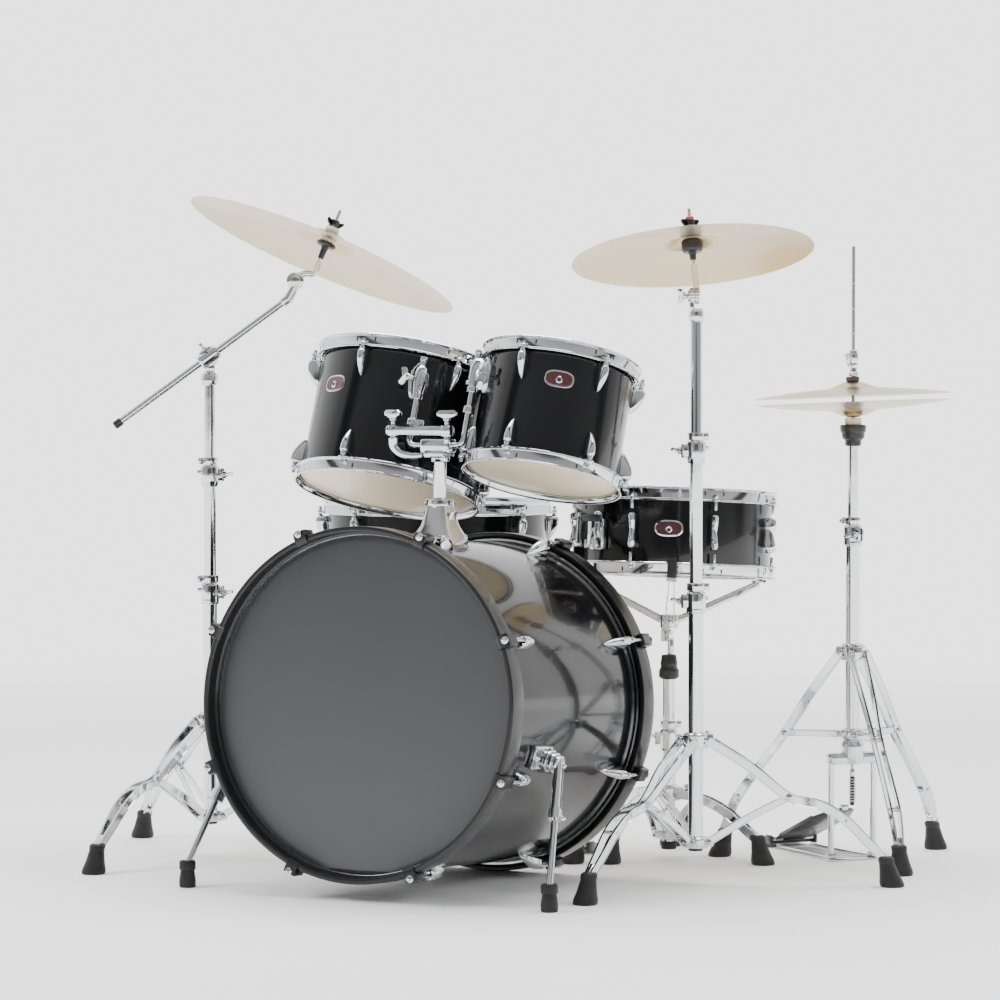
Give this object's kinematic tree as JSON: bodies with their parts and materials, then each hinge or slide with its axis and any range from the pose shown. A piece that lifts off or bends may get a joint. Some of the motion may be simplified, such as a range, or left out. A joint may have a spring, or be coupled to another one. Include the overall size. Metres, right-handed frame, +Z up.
{
  "type": "drum kit",
  "caption": "Acoustic drum kit: kick drum with rack toms, floor tom, snare on a stand, ride on a boom, crash and hi-hat, with pedals.",
  "frame": {"origin": "middle of the kit's bounding box, on the floor", "axes": "+Z up, -Y towards the audience (the kick drum's front head), +X towards the hi-hat side"},
  "size_m": [1.5806, 1.2157, 1.186],
  "materials": {
    "black_wrap_shell": "gloss black wrap over wood ply",
    "black_lacquered_hoop": "gloss black lacquer",
    "dark_head": "smooth satin film",
    "coated_head": "sprayed coating on film",
    "cymbal_brass": "lathed and lacquered",
    "chrome_plated_steel": "bright plating",
    "black_rubber": "matte moulded",
    "black_casting": "satin powder coat",
    "steel_wire": "bright wire"
  },
  "bodies": {
    "frame": {"boom_stand_base": "chrome_plated_steel", "floor_tom_legs": "chrome_plated_steel", "hihat_base": "chrome_plated_steel", "kick_batter_head": "coated_head", "kick_front_head": "dark_head", "kick_hoops": "black_lacquered_hoop", "kick_lugs_and_claws": "chrome_plated_steel", "kick_shell": "black_wrap_shell", "pedal_frame": "chrome_plated_steel", "rubber_feet": "black_rubber", "snare_stand_base": "chrome_plated_steel", "spur_brackets": "chrome_plated_steel", "straight_stand_base": "chrome_plated_steel", "tom_mount_base": "chrome_plated_steel"},
    "spur_left": {"spur_left": "chrome_plated_steel"},
    "spur_right": {"spur_right": "chrome_plated_steel"},
    "tom_post": {"tom_post": "chrome_plated_steel"},
    "high_tom_arm": {"high_tom_arm": "chrome_plated_steel"},
    "mid_tom_arm": {"mid_tom_arm": "chrome_plated_steel"},
    "high_tom": {"high_tom_bracket": "chrome_plated_steel", "high_tom_heads": "coated_head", "high_tom_hoops": "chrome_plated_steel", "high_tom_lugs_and_rods": "chrome_plated_steel", "high_tom_shell": "black_wrap_shell"},
    "mid_tom": {"mid_tom_bracket": "chrome_plated_steel", "mid_tom_heads": "coated_head", "mid_tom_hoops": "chrome_plated_steel", "mid_tom_lugs_and_rods": "chrome_plated_steel", "mid_tom_shell": "black_wrap_shell"},
    "floor_tom": {"floor_tom_heads": "coated_head", "floor_tom_hoops": "chrome_plated_steel", "floor_tom_leg_brackets": "chrome_plated_steel", "floor_tom_lugs_and_rods": "chrome_plated_steel", "floor_tom_shell": "black_wrap_shell"},
    "snare_stand_tube": {"snare_stand_tube": "chrome_plated_steel"},
    "snare_drum": {"snare_basket": "chrome_plated_steel", "snare_heads": "coated_head", "snare_hoops": "chrome_plated_steel", "snare_lugs_and_rods": "chrome_plated_steel", "snare_shell": "black_wrap_shell", "snare_strainer": "chrome_plated_steel", "snare_wires": "steel_wire"},
    "throw_off_lever": {"snare_lever": "chrome_plated_steel"},
    "boom_middle_tube": {"boom_stand_middle_tube": "chrome_plated_steel"},
    "boom_upper_tube": {"boom_upper_tube": "chrome_plated_steel"},
    "boom_tilter": {"boom_tilter": "chrome_plated_steel"},
    "boom_arm": {"boom_arm": "chrome_plated_steel"},
    "ride_tilter": {"ride_tilter": "chrome_plated_steel"},
    "ride_cymbal": {"ride_cymbal": "cymbal_brass"},
    "crash_middle_tube": {"straight_stand_middle_tube": "chrome_plated_steel"},
    "crash_upper_tube": {"straight_upper_tube": "chrome_plated_steel"},
    "crash_tilter": {"crash_tilter": "chrome_plated_steel"},
    "crash_cymbal": {"crash_cymbal": "cymbal_brass"},
    "hihat_upper_tube": {"hihat_upper_tube": "chrome_plated_steel"},
    "hihat_bottom_cymbal": {"hihat_bottom_cymbal": "cymbal_brass"},
    "hihat_rod": {"hihat_rod_and_clutch": "chrome_plated_steel"},
    "hihat_top_cymbal": {"hihat_top_cymbal": "cymbal_brass"},
    "hihat_footboard": {"hihat_footboard": "black_casting"},
    "pedal_footboard": {"pedal_footboard": "black_casting"},
    "pedal_beater": {"pedal_beater": "chrome_plated_steel"}
  },
  "joints": [
    {"name": "spur_right_fold", "type": "hinge", "parent": "frame", "child": "spur_right", "pos_m": [0.36511, -0.44233, 0.23207], "axis": [-0.9622, 0.0154, 0.2718], "range_deg": [0, 60]},
    {"name": "spur_left_fold", "type": "hinge", "parent": "frame", "child": "spur_left", "pos_m": [-0.23531, -0.44233, 0.23207], "axis": [-0.9622, -0.0154, -0.2718], "range_deg": [0, 60]},
    {"name": "tom_post_height", "type": "slide", "parent": "frame", "child": "tom_post", "axis": [0, 0, 1], "range_m": [-0.005, 0.05]},
    {"name": "high_tom_tilt", "type": "hinge", "parent": "tom_post", "child": "high_tom_arm", "pos_m": [0.13802, -0.34398, 0.75], "axis": [1, 0, 0], "range_deg": [-8, 8]},
    {"name": "high_tom_height", "type": "slide", "parent": "high_tom_arm", "child": "high_tom", "axis": [0.03, 0.298, 0.9541], "range_m": [-0.005, 0.025]},
    {"name": "mid_tom_tilt", "type": "hinge", "parent": "tom_post", "child": "mid_tom_arm", "pos_m": [0.03562, -0.348, 0.75], "axis": [1, 0, 0], "range_deg": [-2, 8]},
    {"name": "mid_tom_height", "type": "slide", "parent": "mid_tom_arm", "child": "mid_tom", "axis": [0.03, 0.298, 0.9541], "range_m": [-0.005, 0.025]},
    {"name": "floor_tom_height", "type": "slide", "parent": "frame", "child": "floor_tom", "axis": [0, 0, 1], "range_m": [-0.06, 0.02]},
    {"name": "snare_height", "type": "slide", "parent": "frame", "child": "snare_stand_tube", "axis": [0, 0, 1], "range_m": [-0.04, 0.06]},
    {"name": "snare_tilt", "type": "hinge", "parent": "snare_stand_tube", "child": "snare_drum", "pos_m": [0.2464, 0.2273, 0.4], "axis": [1, 0, 0], "range_deg": [-10, 6]},
    {"name": "snare_throw_off", "type": "hinge", "parent": "snare_drum", "child": "throw_off_lever", "pos_m": [0.18237, 0.04739, 0.57027], "axis": [0.9483, -0.3165, 0.0219], "range_deg": [0, 80]},
    {"name": "boom_middle_height", "type": "slide", "parent": "frame", "child": "boom_middle_tube", "axis": [0, 0, 1], "range_m": [-0.04, 0.08]},
    {"name": "boom_upper_height", "type": "slide", "parent": "boom_middle_tube", "child": "boom_upper_tube", "axis": [0, 0, 1], "range_m": [-0.04, 0.08]},
    {"name": "boom_tilt", "type": "hinge", "parent": "boom_upper_tube", "child": "boom_tilter", "pos_m": [-0.4959, -0.136, 0.9], "axis": [-0.4756, 0.8796, 0], "range_deg": [-20, 5]},
    {"name": "boom_reach", "type": "slide", "parent": "boom_tilter", "child": "boom_arm", "axis": [0.7107, 0.3843, 0.5892], "range_m": [-0.06, 0.06]},
    {"name": "ride_tilt", "type": "hinge", "parent": "boom_arm", "child": "ride_tilter", "pos_m": [-0.35497, -0.07117, 1.036], "axis": [-0.4756, 0.8796, 0], "range_deg": [-10, 10]},
    {"name": "ride_spin", "type": "hinge", "parent": "ride_tilter", "child": "ride_cymbal", "pos_m": [-0.31691, -0.04219, 1.08258], "axis": [0.2627, 0.3069, 0.9148], "continuous": true},
    {"name": "crash_middle_height", "type": "slide", "parent": "frame", "child": "crash_middle_tube", "axis": [0, 0, 1], "range_m": [-0.04, 0.08]},
    {"name": "crash_upper_height", "type": "slide", "parent": "crash_middle_tube", "child": "crash_upper_tube", "axis": [0, 0, 1], "range_m": [-0.04, 0.08]},
    {"name": "crash_tilt", "type": "hinge", "parent": "crash_upper_tube", "child": "crash_tilter", "pos_m": [0.4609, -0.1063, 1.003], "axis": [0.8796, 0.4756, 0], "range_deg": [-10, 10]},
    {"name": "crash_spin", "type": "hinge", "parent": "crash_tilter", "child": "crash_cymbal", "pos_m": [0.44869, -0.0946, 1.07093], "axis": [-0.1745, 0.1671, 0.9704], "continuous": true},
    {"name": "hihat_height", "type": "slide", "parent": "frame", "child": "hihat_upper_tube", "axis": [0, 0, 1], "range_m": [-0.06, 0]},
    {"name": "hihat_bottom_spin", "type": "hinge", "parent": "hihat_upper_tube", "child": "hihat_bottom_cymbal", "pos_m": [0.5494, 0.3538, 0.819], "axis": [-0.0438, 0.0017, 0.999], "continuous": true},
    {"name": "hihat_rod_pull", "type": "slide", "parent": "frame", "child": "hihat_rod", "axis": [0, 0, -1], "range_m": [0, 0.009], "stiffness_N_per_m": 1500, "springref_m": -0.0158},
    {"name": "hihat_top_spin", "type": "hinge", "parent": "hihat_rod", "child": "hihat_top_cymbal", "pos_m": [0.5494, 0.3538, 0.8297], "axis": [-0.0438, 0.0017, 0.999], "continuous": true},
    {"name": "hihat_footboard_press", "type": "hinge", "parent": "frame", "child": "hihat_footboard", "pos_m": [0.3721, 0.4874, 0.018], "axis": [0.6018, 0.7986, 0], "range_deg": [0, 2.65]},
    {"name": "pedal_footboard_press", "type": "hinge", "parent": "frame", "child": "pedal_footboard", "pos_m": [0.0529, 0.2013, 0.018], "axis": [1, 0, 0], "range_deg": [0, 15], "stiffness_Nm_per_rad": 4, "springref_deg": -28.65},
    {"name": "pedal_beater_swing", "type": "hinge", "parent": "frame", "child": "pedal_beater", "pos_m": [0.0529, -0.0207, 0.215], "axis": [1, 0, 0], "range_deg": [0, 37.6]}
  ],
  "couplings": [
    {"joint": "hihat_footboard_press", "follows": "hihat_rod_pull", "rad_per_m": 5.1},
    {"joint": "pedal_beater_swing", "follows": "pedal_footboard_press", "ratio": 2.5}
  ]
}
